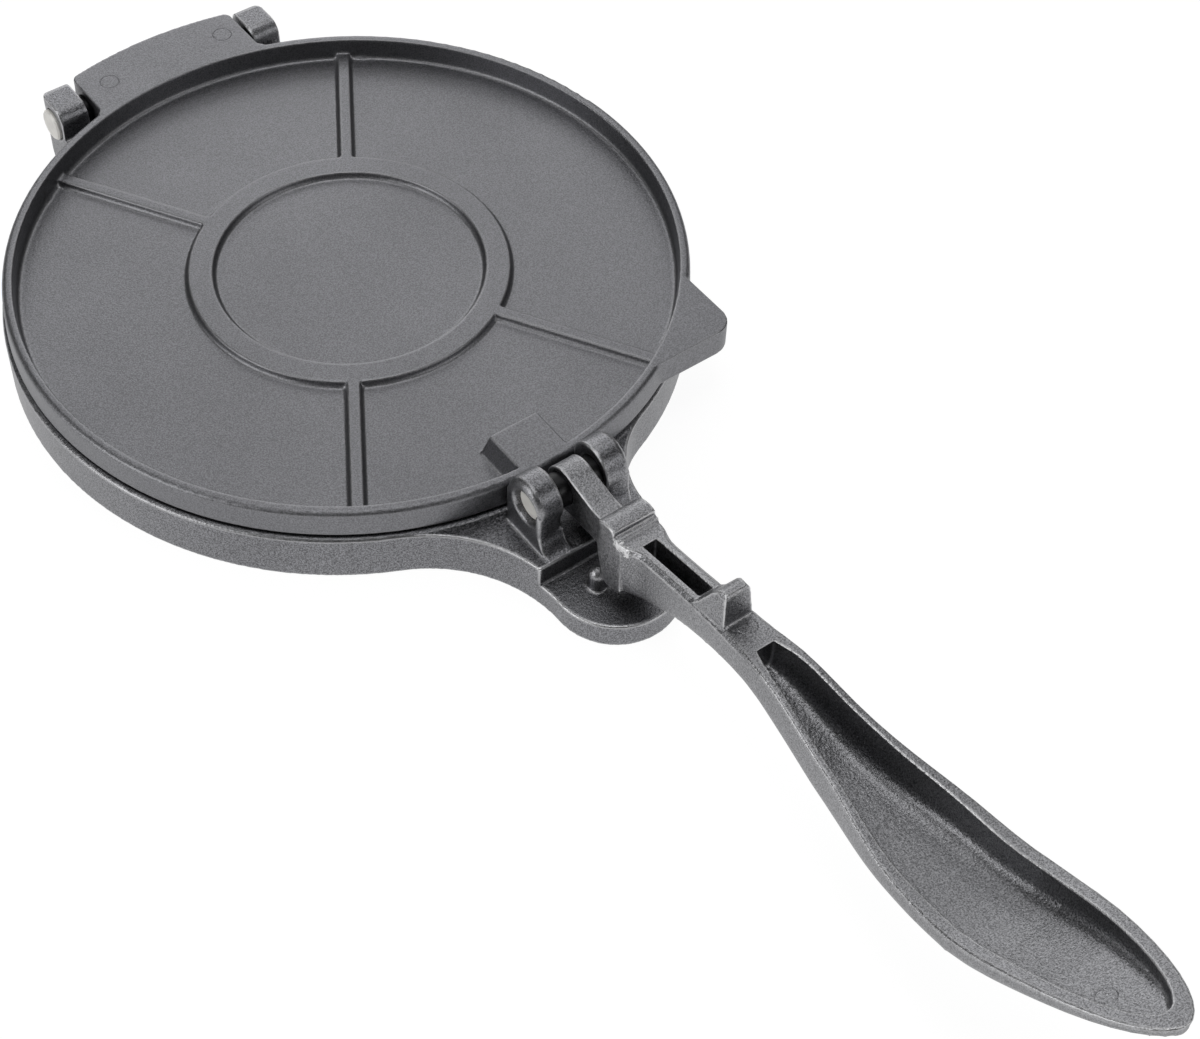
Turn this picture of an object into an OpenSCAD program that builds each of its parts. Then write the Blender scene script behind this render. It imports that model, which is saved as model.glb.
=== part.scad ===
// Cast tortilla press. A hinged upper plate closes on a skirted base plate, and
// a lever held in a clevis at the front swings over to press the two together.
// Lengths are millimetres. Z is up from the table, +Y points to the rear hinge,
// the lever lies towards -Y at rest, and both pins run along X.

/* [Plates] */
// Diameter of the upper plate
plate_d = 191.2; // [150:0.1:230]
// Thickness of the upper plate at its rim
plate_t = 8.5; // [7:0.1:13]
// Thickness of the upper plate's floor inside the rim
plate_floor_t = 2; // [1.8:0.1:5]
// Width of the rim, its rolled outer edge included
rim_w = 3; // [2.4:0.1:6]
// Radius of the rim's rolled outer edge
rim_roll = 1.5; // [0.5:0.1:2]
// Radius of the upper plate's lower edge
plate_roll = 1; // [0.3:0.1:1.4]
// Taper of the cast side walls
wall_draft = 0.3; // [0:0.1:2]
// Space between the closed plates
plate_gap = 0.8; // [0.1:0.05:1.5]

/* [Ribs on the upper plate] */
// Inner diameter of the raised ring
ring_d = 76.4; // [50:0.2:110]
// Width of the raised ring
ring_w = 7; // [4:0.5:14]
// Height of the ring and the spokes above the floor
rib_h = 1.9; // [1:0.1:4]
// Width of a spoke
spoke_w = 3.5; // [2:0.1:8]
// Angle between a spoke and the press's long axis
spoke_angle = 31.7; // [20:0.1:60]
// Width of the land that the lever bears on
land_w = 15.2; // [10:0.2:24]
// Length of that land, measured in from the plate's front edge
land_l = 16.6; // [8:0.1:26]

/* [Lifting ear] */
// Distance from the centre to the ear's outer side
ear_x = 71.5; // [68:0.5:84]
// Distance from the centre to the ear's front side
ear_y = 84.2; // [70:0.5:92]
// Corner radius of the ear
ear_r = 6.2; // [2:0.2:12]

/* [Base plate] */
// Height of the base plate
base_h = 14.4; // [11:0.2:22]
// How far the base stands out past the upper plate, per side
base_step = 0.7; // [0.5:0.1:6]
// Side play taken up: how far the base's disc and lugs stand to the left
base_shift = 0.6; // [0:0.1:1.2]
// Thickness of the base's pressing floor
base_floor_t = 4; // [3:0.5:7]
// Thickness of the base's skirt
skirt_t = 3.5; // [2:0.5:6]
// Thickness of the ribs under the base
base_rib_t = 3; // [2:0.5:6]
// Width of the front tongue
tongue_w = 35.4; // [33:0.2:50]
// Reach of the front tongue past the upper plate
tongue_l = 47; // [40:0.2:70]
// Height of the front tongue
tongue_h = 7.6; // [5:0.2:10]
// Radius of the neck's left side, between the tongue and the round base
neck_r_left = 41.3; // [20:0.1:60]
// Radius of the neck's right side
neck_r_right = 28; // [20:0.1:60]
// Drop of the neck's top below the pressing face
neck_drop = 0.5; // [0.2:0.1:3]

/* [Rear hinge] */
// Diameter of the hinge pin
hinge_pin_d = 9.5; // [6:0.1:11]
// Distance of the hinge pin behind the upper plate's edge
hinge_set = 7; // [6.4:0.1:12]
// Depth of the hinge pin below the upper plate's top
hinge_drop = 7.4; // [7.2:0.1:10]
// Depth of a hinge lug, front to rear
hinge_lug_w = 13.2; // [13:0.2:20]
// Height of the hinge lugs above the upper plate's top
hinge_lug_rise = 0.3; // [0:0.1:2]
// Radius of the hinge lugs' upper front corners
hinge_lug_r = 4.5; // [1:0.1:5]
// Radius of the hinge lugs' upper rear corners
hinge_lug_rear_r = 2; // [1:0.1:4]
// Radius of the hinge lugs' outer rear corners, seen from above
hinge_lug_side_r = 3.5; // [1:0.1:5]
// Thickness of one hinge lug
hinge_lug_t = 9; // [5:0.5:14]
// Width of the upper plate's hinge knuckle
knuckle_w = 54; // [36:1:70]
// Wall left round the hinge pin in the knuckle
knuckle_wall = 2; // [1.5:0.1:4]
// Reach of the knuckle's tail behind the hinge pin
tail_l = 10.5; // [8.5:0.1:14]
// Corner radius of the tail, seen from above
tail_r = 2.5; // [0.5:0.1:4]
// Depth of the tail's stop edge below the hinge pin
tail_drop = 5; // [2:0.1:8]
// Side play between the knuckle and each hinge lug
knuckle_play = 1.5; // [0.3:0.1:3]

/* [Front clevis] */
// Diameter of the lever's pin
lever_pin_d = 9.5; // [6:0.1:11]
// Distance of the lever's pin in front of the upper plate's edge
pivot_set = 9.9; // [9:0.1:16]
// Height of the lever's pin above the upper plate's top
pivot_rise = 1.8; // [0:0.1:6]
// Radius of the clevis lugs' round tops
clevis_r = 7.4; // [6.8:0.1:9]
// Space between the clevis lugs
clevis_gap = 13.7; // [9:0.1:18]
// Thickness of each clevis lug
clevis_t = 7.8; // [5:0.1:12]
// Radius of the rolled rim on each lug's outer face
clevis_roll = 2; // [0.5:0.1:2.4]
// Width of each lug's inner web, which is set back below the pin
clevis_web = 3.8; // [2:0.1:6]
// Radius of the fillet at the front of each lug's foot
clevis_fillet = 4.8; // [2:0.1:6]
// Distance of the neck's front step from the lever's pin
step_set = 11.2; // [9:0.1:16]

/* [Lever] */
// Reach of the lever from its pin to its tip
lever_l = 210.4; // [170:0.1:260]
// Width of the lever's arm beside the bearing block
arm_w = 10.2; // [8:0.1:12]
// Width of the lever between the clevis bosses
tang_w = 7.2; // [5:0.1:8.6]
// Width of the lever's grip
grip_w = 33.2; // [24:0.2:44]
// Thickness of the lever's walls
lever_wall = 2.3; // [1.8:0.1:3.2]
// Width of the rolled edge round the grip
grip_edge = 3.8; // [2.6:0.1:6]
// Width of the bearing block that presses the plate
block_w = 13.3; // [11:0.1:18]
// Nose radius of the bearing block
nose_r = 6; // [4:0.1:7]
// Corner radius of the bearing block, seen from above
block_r = 3; // [0.5:0.1:3]
// Height of the arm at the shoulder, above the pin
shoulder_h = 13.3; // [10:0.1:20]
// Height of the grip's edge at its lowest, above the pin
dip_h = 6.7; // [4:0.1:12]
// Height of the grip's tip, above the pin
tip_h = 30.2; // [20:0.1:45]
// Height of the second bearing tooth above the arm
tooth_h = 10.4; // [5:0.1:14]
// Width of the second bearing tooth at its foot
tooth_w = 9.6; // [6:0.1:12]
// Width of the step along the arm's upper edges
lip_w = 0.7; // [0.2:0.1:1]

/* [Fits] */
// Radial clearance of a pin in the part that turns on it
run_clear = 0.05; // [0.02:0.01:0.1]
// How far the hinge pin's ends stand out of the hinge lugs
hinge_pin_proud = 0.9; // [0.2:0.1:3]
// Depth of the lever pin's ends inside the clevis lugs
lever_pin_sunk = 1.8; // [0.2:0.1:3]
// Rest clearance of the lever above its stop domes
stop_clear = 0.2; // [0.1:0.1:1]

/* [Hidden] */
$fn = 96;
EPS = 0.02;
FAR = 400;

// Heights and radii of the two plates
plate_r = plate_d / 2;
plate_z = base_h + plate_gap;
top_z = plate_z + plate_t;
floor_z = plate_z + plate_floor_t;
base_r = plate_r + base_step;
neck_z = base_h - neck_drop;
edge_r = 0.8;
base_roll = 0.9;

// Hinge at the rear
hinge_r = hinge_pin_d / 2;
hinge_y = plate_r + hinge_set;
hinge_z = top_z - hinge_drop;
knuckle_r = hinge_r + knuckle_wall;
lug_in = knuckle_w / 2 + knuckle_play;
lug_out = lug_in + hinge_lug_t;
lug_z = top_z + hinge_lug_rise;
lug_front = hinge_y - hinge_lug_w / 2;
lug_rear = hinge_y + hinge_lug_w / 2;
lug_foot_y = hinge_y + 3;
rear_wall_y = hinge_y - knuckle_r - 1.3;
notch_r = 2;

// Clevis at the front
lever_r = lever_pin_d / 2;
pivot_y = -(plate_r + pivot_set);
pivot_z = top_z + pivot_rise;
clevis_in = clevis_gap / 2;
clevis_out = clevis_in + clevis_t;
clevis_y = pivot_y + 0.9;
clevis_z = pivot_z + 0.5;
step_y = pivot_y - step_set;

// Front tongue
tongue_r = tongue_w / 2;
tongue_y = -(plate_r + tongue_l - tongue_r);

// Lever, by reach s from the pin and height h above it
block_s0 = nose_r + 11.3;
nose_s = block_s0 + nose_r;
nose_h = 3.3;
nose_front = nose_s + nose_r * 0.4;
block_s1 = nose_front + 3.3;
shelf_l = 1.5;
heel_r = 2.6;
heel_s = nose_s + 0.8;
heel_h = -10.6;
tang_r = 6.9;
tang_s = 0.6;
tang_h = -0.4;
arm_h0 = nose_h + 3.1;
shelf_h = arm_h0 + 0.9;
slot_s0 = block_s1 + 3;
slot_l = 22.2;
tooth_s = slot_s0 + slot_l + 3;
tooth_l = 9.5;
scoop_s0 = tooth_s + tooth_l + 9.8;
shoulder_s = scoop_s0 + 5.2;

// Stop domes on the tongue, under the lever's heel
dome_r = 2.6;
dome_x = block_w / 2 - 0.6;
dome_z = tongue_h + 4.3;

// The pressing floor's underside carries a ring and spokes like the upper plate
rib_foot = 3;

// ---- curves ---------------------------------------------------------------

// Slope of a knot list k at knot i
function knot_slope(k, i) =
    let (a = max(i - 1, 0), b = min(i + 1, len(k) - 1))
    (k[b][1] - k[a][1]) / (k[b][0] - k[a][0]);

// Index of the knot list's piece that holds s
function knot_piece(k, s, i = 0) =
    (i >= len(k) - 2 || s < k[i + 1][0]) ? i : knot_piece(k, s, i + 1);

// Smooth curve through the knots [[s, value], ...], read at s
function through(k, s) =
    let (i = knot_piece(k, s), d = k[i + 1][0] - k[i][0], t = (s - k[i][0]) / d)
    (2 * t^3 - 3 * t^2 + 1) * k[i][1] + (t^3 - 2 * t^2 + t) * d * knot_slope(k, i)
    + (3 * t^2 - 2 * t^3) * k[i + 1][1] + (t^3 - t^2) * d * knot_slope(k, i + 1);

// Reach at the share f of the way from the shoulder to the tip
function grip_s(f) = shoulder_s + f * (lever_l - shoulder_s);

// Half width of a rounded end that starts at s0 with half width w and ends at s1
end_bulge = 1.95;
function end_half(s, s0, s1, w) =
    w * max(0, 1 - ((s - s0) / (s1 - s0)) ^ end_bulge) ^ (1 / end_bulge);

// Lever's top edge, underside and half width against reach
top_knots = [[nose_s - 2, arm_h0 - 0.5], [shoulder_s, shoulder_h],
             [grip_s(0.19), (shoulder_h + dip_h) / 2 - 0.6], [grip_s(0.45), dip_h],
             [grip_s(0.6), dip_h + 3.1], [grip_s(0.77), (dip_h + tip_h) / 2 + 0.4],
             [lever_l, tip_h]];
under_knots = [[nose_s - 2, heel_h - heel_r + 0.6], [block_s1, heel_h - 1.8],
               [slot_s0 + 0.8 * slot_l, shoulder_h - 16.5],
               [scoop_s0, shoulder_h - 11.4], [grip_s(0.09), shoulder_h - 15],
               [grip_s(0.21), dip_h - 12.2], [grip_s(0.42), dip_h - 12.7],
               [grip_s(0.62), dip_h - 8], [grip_s(0.81), (dip_h + tip_h) / 2 - 6.4],
               [lever_l, tip_h - 4]];
width_knots = [[nose_s - 2, 0], [slot_s0 + slot_l, 0], [shoulder_s, 0.134],
               [grip_s(0.22), 0.431], [grip_s(0.42), 0.864], [grip_s(0.6), 1]];

// Rises smoothly from 0 at s0 to 1 at s1
function ramp(s, s0, s1) =
    let (t = min(1, max(0, (s - s0) / (s1 - s0)))) t * t * (3 - 2 * t);

// Flare of the arm's sides into the bearing block
flare_l = 6.5;
function flare(s) =
    (block_w / 2 - 0.15 - arm_w / 2) * (1 - ramp(s, block_s1 - 0.5, block_s1 + flare_l));

// Width of the step along the arm's upper edges, fading out at its ends
function lip(s) =
    lip_w * ramp(s, block_s1 + 1, block_s1 + 4) * (1 - ramp(s, tooth_s + tooth_l, shoulder_s));
function lever_top(s) = through(top_knots, s);
function lever_under(s) = through(under_knots, s);
function lever_half(s) =
    s > grip_s(0.6) ? end_half(s, grip_s(0.6), lever_l, grip_w / 2)
    : arm_w / 2 + (grip_w - arm_w) / 2 * through(width_knots, s) + flare(s);

// Edge round the scoop, widening from the arm's wall to the grip's rolled edge
function edge_w(s) =
    let (t = min(1, max(0, (s - grip_s(0.2)) / (grip_s(0.5) - grip_s(0.2)))))
    lever_wall + (grip_edge - lever_wall) * t;
scoop_end = lever_l - grip_edge * 1.4;
scoop_pinch = 1.3;
function scoop_half(s) =
    s > grip_s(0.6) ? end_half(s, grip_s(0.6), scoop_end, grip_w / 2 - grip_edge)
    : lever_half(s) - edge_w(s) - scoop_pinch * (1 - min(1, (s - scoop_s0) / 11)) ^ 2;

// Squareness of the lever's cross-section: boxy in the arm, bowl-like in the grip
function squareness(s) =
    let (t = min(1, max(0, (s - shoulder_s) / (grip_s(0.45) - shoulder_s))))
    6 - 3.4 * t;

// Quarter of a rounded cross-section, from the side at height z1 to the bottom z0
quarter = 7;
function bowl(w, z1, z0, n) =
    [for (k = [0 : quarter]) let (a = 90 * k / quarter)
        [w * cos(a) ^ (2 / n), z1 - (z1 - z0) * sin(a) ^ (2 / n)]];

// Full ring of points [x, z] from its right half, listed from the top down
function mirror_ring(half) =
    concat(half, [for (k = [len(half) - 2 : -1 : 0]) [-half[k][0], half[k][1]]]);

// Reaches of the loft's sections: even steps, then closer round the end
function sections(s0, s1, s2, steps, end_steps) =
    concat([for (i = [0 : steps - 1]) s0 + (s1 - s0) * i / steps],
           [for (i = [0 : end_steps]) s1 + (s2 - s1) * sin(90 * i / end_steps)]);

// Solid through the rings of points, each [x, h] at its reach in list s
module loft(s, rings) {
    n = len(rings[0]);
    points = [for (i = [0 : len(s) - 1]) for (p = rings[i]) [p[0], -s[i], p[1]]];
    sides = [for (i = [0 : len(s) - 2]) for (j = [0 : n - 1])
        let (a = i * n + j, b = i * n + (j + 1) % n)
        each [[a, b, b + n], [a, b + n, a + n]]];
    ends = [[for (j = [n - 1 : -1 : 0]) j],
            [for (j = [0 : n - 1]) (len(s) - 1) * n + j]];
    polyhedron(points, concat(sides, ends), convexity = 6);
}

// ---- shared shapes ---------------------------------------------------------

// Right half of a plate outline's blend from the circle of radius r into a tab
// towards +Y, whose edge is hw from the middle, with a concave corner of radius c
module half_blend(r, hw, c) {
    cx = hw + c;
    cy = sqrt((r + c) ^ 2 - cx ^ 2);
    difference() {
        polygon([[0, 0], [0, cy], [cx, cy]]);
        translate([cx, cy]) circle(c);
    }
}

// Extrudes a side view, drawn as [y, z], across X from x0 to x1
module across(x0, x1) {
    translate([x0, 0, 0]) rotate([90, 0, 90]) linear_extrude(x1 - x0) children();
}

// Extrudes a front view, drawn as [x, z], along Y from y0 to y1
module along(y0, y1) {
    translate([0, y1, 0]) rotate([90, 0, 0]) linear_extrude(y1 - y0) children();
}

// Cylinder along X from x0 to x1 about the axis through [y, z]
module rod(y, z, r, x0, x1) {
    translate([x0, y, z]) rotate([0, 90, 0]) cylinder(h = x1 - x0, r = r);
}

// Widened mouth of a pin's hole, in the face at x on the given side
module mouth(y, z, r, x, side) {
    flare = 0.7;
    translate([x, y, z]) rotate([0, side * 90, 0])
        translate([0, 0, -flare]) cylinder(h = flare + EPS, r1 = r, r2 = r + flare + EPS);
}

// Pin along X about [y, z], with chamfered ends
module pin(y, z, r, half_l) {
    chamfer = 0.5;
    translate([-half_l, y, z]) rotate([0, 90, 0]) rotate_extrude()
        polygon([[0, 0], [r - chamfer, 0], [r, chamfer], [r, 2 * half_l - chamfer],
                 [r - chamfer, 2 * half_l], [0, 2 * half_l]]);
}

// Low rib section, drawn as [x, z] with its foot at z = 0, w wide and h high
module rib_section(w, h) {
    spread = 0.9;
    polygon([[-w / 2 - spread, -EPS], [-w / 2 - spread / 4, h * 0.4], [-w / 2, h],
             [w / 2, h], [w / 2 + spread / 4, h * 0.4], [w / 2 + spread, -EPS]]);
}

// ---- base plate ------------------------------------------------------------

// Base outline drawn in from its true edge by inset
module base_outline(inset) {
    r = base_r - inset;
    half_w = tongue_r - inset;
    translate([-base_shift, 0]) {
        circle(r);
        rotate(180) half_blend(r, half_w - base_shift, neck_r_left + inset);
        mirror([0, 1]) half_blend(r, half_w + base_shift, neck_r_right + inset);
    }
    translate([-half_w, tongue_y]) square([2 * half_w, -tongue_y - base_r * 0.8]);
    translate([0, tongue_y]) circle(half_w);
}

// Round part of the base, with a rolled top edge
module base_disc() {
    r = base_r - wall_draft;
    translate([-base_shift, 0, 0]) rotate_extrude() {
        polygon([[0, 0], [base_r, 0], [r, base_h - base_roll], [r - base_roll, base_h],
                 [0, base_h]]);
        translate([r - base_roll, base_h - base_roll]) circle(base_roll);
    }
}

// Everything between the front step and the rear, up to height h
module behind_step(h) {
    translate([-FAR / 2, step_y, 0]) cube([FAR, FAR, h]);
}

// One hinge lug on the side given by side = -1 or 1: a block with rounded
// corners on top, and a rounded outer corner at its rear
module hinge_lug(side) {
    front_y = lug_front + hinge_lug_r;
    rear_y = lug_rear - hinge_lug_rear_r;
    foot_y = plate_r * 0.86;
    mirror([side < 0 ? 1 : 0, 0, 0]) intersection() {
        across(lug_in, lug_out) {
            polygon([[foot_y, 0], [lug_foot_y, 0], [lug_rear, base_h * 0.55],
                     [lug_rear, lug_z - hinge_lug_rear_r], [rear_y, lug_z],
                     [front_y, lug_z], [lug_front, lug_z - hinge_lug_r],
                     [lug_front, base_h], [foot_y, base_h]]);
            translate([rear_y, lug_z - hinge_lug_rear_r]) circle(hinge_lug_rear_r);
            translate([front_y, lug_z - hinge_lug_r]) circle(hinge_lug_r);
        }
        linear_extrude(FAR / 4) {
            translate([0, foot_y - 1]) square([lug_out, lug_rear - hinge_lug_side_r - foot_y + 1]);
            translate([0, foot_y]) square([lug_out - hinge_lug_side_r, FAR / 4]);
            translate([lug_out - hinge_lug_side_r, lug_rear - hinge_lug_side_r])
                circle(hinge_lug_side_r);
        }
    }
}

// Plan of a clevis lug about its axis, with its outer corners rolled
module lug_plan() {
    square_y = clevis_r - clevis_roll;
    translate([clevis_in, -clevis_r + clevis_roll]) square([clevis_t, 2 * square_y]);
    translate([clevis_in + clevis_web, -clevis_r])
        square([clevis_t - clevis_web - clevis_roll, 2 * clevis_r]);
    for (end = [-1, 1]) translate([clevis_out - clevis_roll, end * square_y])
        circle(clevis_roll);
}

// One clevis lug: a round-topped column with a rolled outer rim, a web that is
// set back under its inner boss, and a fillet down to the neck's step
module clevis_lug(side) {
    foot_y = clevis_y - clevis_r;
    mirror([side < 0 ? 1 : 0, 0, 0]) {
        translate([0, clevis_y, neck_z - 1]) linear_extrude(clevis_z - neck_z + 1) lug_plan();
        translate([clevis_in, clevis_y, clevis_z]) rotate([0, 90, 0]) rotate_extrude() {
            square([clevis_r, clevis_t - clevis_roll]);
            square([clevis_r - clevis_roll, clevis_t]);
            translate([clevis_r - clevis_roll, clevis_t - clevis_roll]) circle(clevis_roll);
        }
        across(clevis_in, clevis_out) difference() {
            translate([step_y, neck_z - EPS])
                square([foot_y + clevis_roll - step_y, clevis_fillet]);
            translate([foot_y - clevis_fillet, neck_z + clevis_fillet]) circle(clevis_fillet);
        }
    }
}

// Ring and spokes inside the hollow base
module base_ribs() {
    h = base_h - base_floor_t;
    ring_mid = (ring_d + ring_w) / 2;
    translate([-base_shift, 0, rib_foot]) {
        difference() {
            cylinder(h = h - rib_foot + EPS, r = ring_mid + base_rib_t / 2);
            translate([0, 0, -1]) cylinder(h = h + 2, r = ring_mid - base_rib_t / 2);
        }
        for (a = [spoke_angle, -spoke_angle, 180 - spoke_angle, 180 + spoke_angle])
            rotate(a) translate([-base_rib_t / 2, ring_mid, 0])
                cube([base_rib_t, base_r - skirt_t / 2 - ring_mid, h - rib_foot + EPS]);
    }
}

// Small domes that the lever's heel rests over
module stop_domes() {
    for (side = [-1, 1]) translate([side * dome_x, stop_dome_y(), 0]) {
        translate([0, 0, tongue_h - 1]) cylinder(h = dome_z - tongue_h + 1, r = dome_r);
        translate([0, 0, dome_z]) sphere(dome_r);
    }
}

// Place of the stop domes: they nearly touch the round of the lever's heel
function stop_dome_y() =
    let (dz = pivot_z + heel_h - dome_z, reach = heel_r + dome_r + stop_clear)
    pivot_y - heel_s + sqrt(max(0, reach ^ 2 - dz ^ 2));

module base_plate() color([0.42, 0.43, 0.45]) {
    difference() {
        union() {
            difference() {
                union() {
                    base_disc();
                    linear_extrude(tongue_h) base_outline(0);
                    intersection() {
                        linear_extrude(neck_z) base_outline(0);
                        behind_step(neck_z);
                    }
                }
                // hollow under the pressing floor, the neck and the tongue
                intersection() {
                    translate([0, 0, -1]) linear_extrude(base_h - base_floor_t + 1)
                        base_outline(skirt_t);
                    translate([-FAR / 2, step_y + skirt_t, -1])
                        cube([FAR, rear_wall_y - skirt_t - step_y - skirt_t, base_h]);
                }
                translate([0, 0, -1]) linear_extrude(tongue_h - skirt_t + 1.8)
                    intersection() {
                        base_outline(skirt_t);
                        translate([-FAR / 2, -FAR]) square([FAR, FAR + step_y]);
                    }
                // room for the knuckle to turn
                translate([-lug_in - base_shift, rear_wall_y, -1])
                    cube([2 * lug_in, FAR / 4, base_h + 2]);
            }
            base_ribs();
            stop_domes();
            for (side = [-1, 1]) translate([-base_shift, 0, 0]) {
                hinge_lug(side);
                clevis_lug(side);
            }
        }
        rod(hinge_y, hinge_z, hinge_r, -FAR / 2, FAR / 2);
        rod(pivot_y, pivot_z, lever_r, -FAR / 2, FAR / 2);
        for (side = [-1, 1]) translate([-base_shift, 0, 0]) {
            mouth(hinge_y, hinge_z, hinge_r, side * lug_out, side);
            mouth(pivot_y, pivot_z, lever_r, side * clevis_out, side);
        }
    }
}

// ---- upper plate -----------------------------------------------------------

// Disc with its drafted outer wall, rolled edges and deep recess
module plate_disc() {
    fillet = 1;
    recess_r = plate_r - rim_w - 0.5;
    foot_r = plate_r + wall_draft;
    rotate_extrude() difference() {
        union() {
            polygon([[0, plate_z], [foot_r - plate_roll, plate_z],
                     [foot_r, plate_z + plate_roll], [plate_r, top_z - rim_roll],
                     [plate_r - rim_roll, top_z], [0, top_z]]);
            translate([plate_r - rim_roll, top_z - rim_roll]) circle(rim_roll);
            translate([foot_r - plate_roll, plate_z + plate_roll]) circle(plate_roll);
        }
        polygon([[-1, floor_z], [recess_r - fillet, floor_z], [recess_r, floor_z + fillet],
                 [plate_r - rim_w, top_z], [plate_r - rim_w, top_z + 1], [-1, top_z + 1]]);
        translate([recess_r - fillet, floor_z + fillet]) circle(fillet);
    }
}

// Raised ring round the middle of the recess
module plate_ring() {
    rotate_extrude() translate([(ring_d + ring_w) / 2, floor_z]) rib_section(ring_w, rib_h);
}

// Four spokes from the ring to the rim
module plate_spokes() {
    r0 = (ring_d + ring_w) / 2;
    for (a = [spoke_angle, -spoke_angle, 180 - spoke_angle, 180 + spoke_angle])
        rotate(a) along(r0, plate_r - rim_w / 2) translate([0, floor_z]) rib_section(spoke_w, rib_h);
}

// Land at the front that takes the lever's thrust, flush with the rim
module plate_land() {
    spread = 2;
    intersection() {
        along(-plate_r + rim_w / 2, -plate_r + land_l + spread)
            polygon([[-land_w / 2 - spread, floor_z - EPS], [-land_w / 2, top_z],
                     [land_w / 2, top_z], [land_w / 2 + spread, floor_z - EPS]]);
        across(-land_w, land_w)
            polygon([[-plate_r, floor_z - EPS], [-plate_r, top_z], [land_l - plate_r, top_z],
                     [land_l + spread * 0.7 - plate_r, floor_z - EPS]]);
    }
}

// Ear at the front right corner, to lift the plate by
module plate_ear() {
    translate([0, 0, plate_z]) linear_extrude(plate_t) difference() {
        union() {
            translate([0, -ear_y]) square([ear_x - ear_r, ear_y / 2]);
            translate([ear_x / 2, -ear_y + ear_r]) square([ear_x / 2, ear_y / 3]);
            translate([ear_x - ear_r, -ear_y + ear_r]) circle(ear_r);
        }
        circle(plate_r - rim_w / 2);
    }
}

// Outline of the rear tail, ending in an arc round the plate's centre with
// rounded corners
module tail_outline() {
    r = hinge_y + tail_l;
    x = knuckle_w / 2 - tail_r;
    y = sqrt((r - tail_r) ^ 2 - x ^ 2);
    intersection() {
        circle(r);
        polygon([[0, 0], [-2 * x, 2 * y], [2 * x, 2 * y]]);
        translate([-knuckle_w / 2, plate_r - rim_w * 2]) square([knuckle_w, FAR / 4]);
    }
    translate([-knuckle_w / 2, plate_r - rim_w * 2]) square([knuckle_w, y - plate_r + rim_w * 2]);
    for (side = [-1, 1]) translate([side * x, y]) circle(tail_r);
    difference() {
        for (side = [0, 1]) mirror([side, 0]) half_blend(plate_r, knuckle_w / 2, notch_r);
        circle(plate_r - rim_w / 2);
    }
}

// Tail, hinge knuckle and the stop edge behind it
module plate_tail() {
    translate([0, 0, plate_z]) linear_extrude(plate_t) difference() {
        tail_outline();
        circle(plate_r - rim_w / 2);
    }
    rod(hinge_y, hinge_z, knuckle_r, -knuckle_w / 2, knuckle_w / 2);
    intersection() {
        translate([0, 0, hinge_z - tail_drop]) linear_extrude(top_z - hinge_z + tail_drop)
            tail_outline();
        translate([-knuckle_w / 2, hinge_y + knuckle_r * 0.5, 0]) cube([knuckle_w, FAR / 4, FAR]);
    }
}

module upper_plate() color([0.45, 0.46, 0.48]) difference() {
    union() {
        plate_disc();
        plate_ring();
        plate_spokes();
        plate_land();
        plate_ear();
        plate_tail();
    }
    rod(hinge_y, hinge_z, hinge_r + run_clear, -knuckle_w, knuckle_w);
}

// ---- lever -----------------------------------------------------------------

// Cast body of arm and grip, with a small step along the arm's upper edges
module lever_body() {
    s0 = nose_s - 2;
    s1 = block_s1 + flare_l + 0.5;
    s = concat([for (i = [0 : 7]) s0 + (s1 - s0) * i / 8],
               sections(s1, grip_s(0.6), lever_l - 0.15, 21, 12));
    loft(s, [for (v = s)
        let (w = lever_half(v), t = lever_top(v), e = min(edge_r, w / 3), k = lip(v))
        mirror_ring(concat([[w - k - e, t], [w - k - 0.3 * e, t - 0.3 * e], [w - k, t - e],
                            [w - 0.1 * k, t - e - 0.3]],
                           bowl(w, t - e - 0.6, lever_under(v), squareness(v))))]);
}

// Pocket open at the top between reaches s0 and s2, leaving the floor's thickness
module pocket(s, half) {
    loft(s, [for (i = [0 : len(s) - 1])
        mirror_ring(concat([[half[i], lever_top(s[i]) + 4]],
                           bowl(half[i], lever_top(s[i]) - edge_r,
                                lever_under(s[i]) + lever_wall, 4.6)))]);
}

// Slot between the two bearing teeth
module arm_slot() {
    s = [for (i = [0 : 5]) slot_s0 + slot_l * i / 5];
    pocket(s, [for (v = s) arm_w / 2 - lip_w - lever_wall]);
}

// Scoop of the grip
module grip_scoop() {
    s = sections(scoop_s0, grip_s(0.6), scoop_end - 0.2, 18, 9);
    pocket(s, [for (v = s) scoop_half(v)]);
}

// Tang that turns on the pin, and the arm's root behind the bearing block
module lever_tang() {
    across(-tang_w / 2, tang_w / 2) mirror([1, 0]) {
        translate([tang_s, tang_h]) circle(tang_r);
        polygon([[tang_s, tang_h + tang_r], [13, nose_h + 0.3], [nose_s, nose_h + 0.3],
                 [nose_s, heel_h + heel_r], [13, -6.6], [tang_s, tang_h - tang_r]]);
    }
}

// Side view of the bearing block: round nose on top, ledged front, rounded heel
module block_side() {
    intersection() {
        translate([nose_s, nose_h]) circle(nose_r);
        translate([0, nose_h - nose_r]) square([nose_front, 2 * nose_r]);
    }
    polygon([[block_s0, nose_h], [nose_front, nose_h + nose_r / 2],
             [nose_front, shelf_h], [nose_front + shelf_l, shelf_h],
             [nose_front + shelf_l, nose_h + 0.5], [block_s1, nose_h + 0.5],
             [block_s1 + 0.3, heel_h - 0.4], [heel_s, heel_h - heel_r],
             [heel_s - heel_r, heel_h]]);
    translate([heel_s, heel_h]) circle(heel_r);
}

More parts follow.
